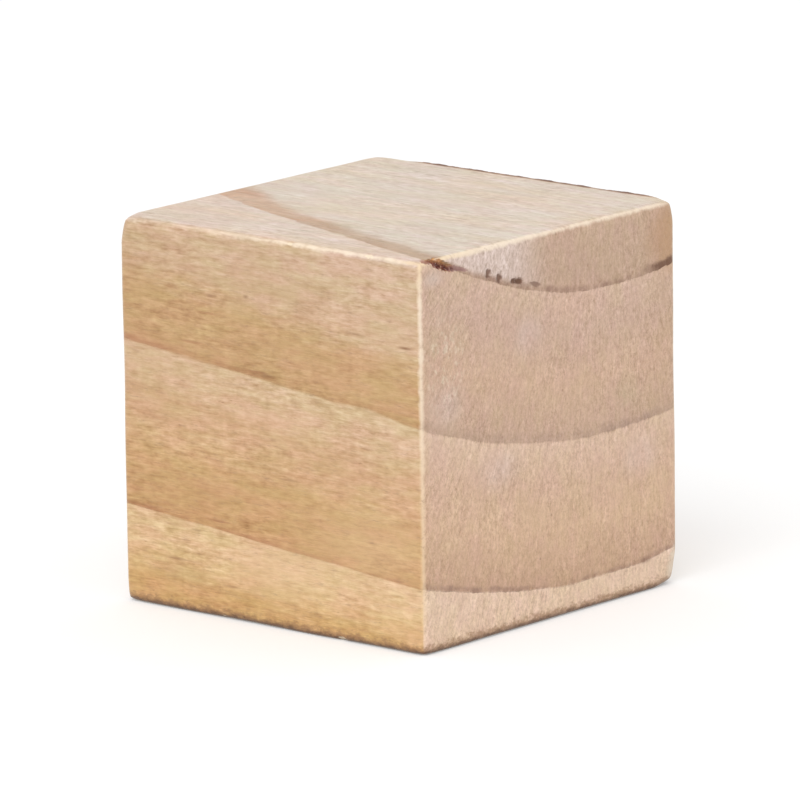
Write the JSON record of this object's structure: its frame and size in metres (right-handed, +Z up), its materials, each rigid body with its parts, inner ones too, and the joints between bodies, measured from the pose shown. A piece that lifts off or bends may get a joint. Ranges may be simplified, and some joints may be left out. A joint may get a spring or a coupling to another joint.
{
  "type": "wooden cube",
  "caption": "Plain cube of bare, sanded softwood with lightly eased arrises and rubbed corners, for stacking, packing up work or building shapes.",
  "frame": {"origin": "middle of the square face that the cube stands on", "axes": "+Z up, out of the top face; X along the wood's fibres, so the +X and -X faces are end grain; the growth rings sag towards -Z"},
  "size_m": [0.0254, 0.0254, 0.0254],
  "materials": {
    "bare_softwood": "bare softwood, sanded smooth, with no oil, paint or varnish"
  },
  "bodies": {
    "root": {"wooden_cube": "bare_softwood"}
  },
  "joints": []
}
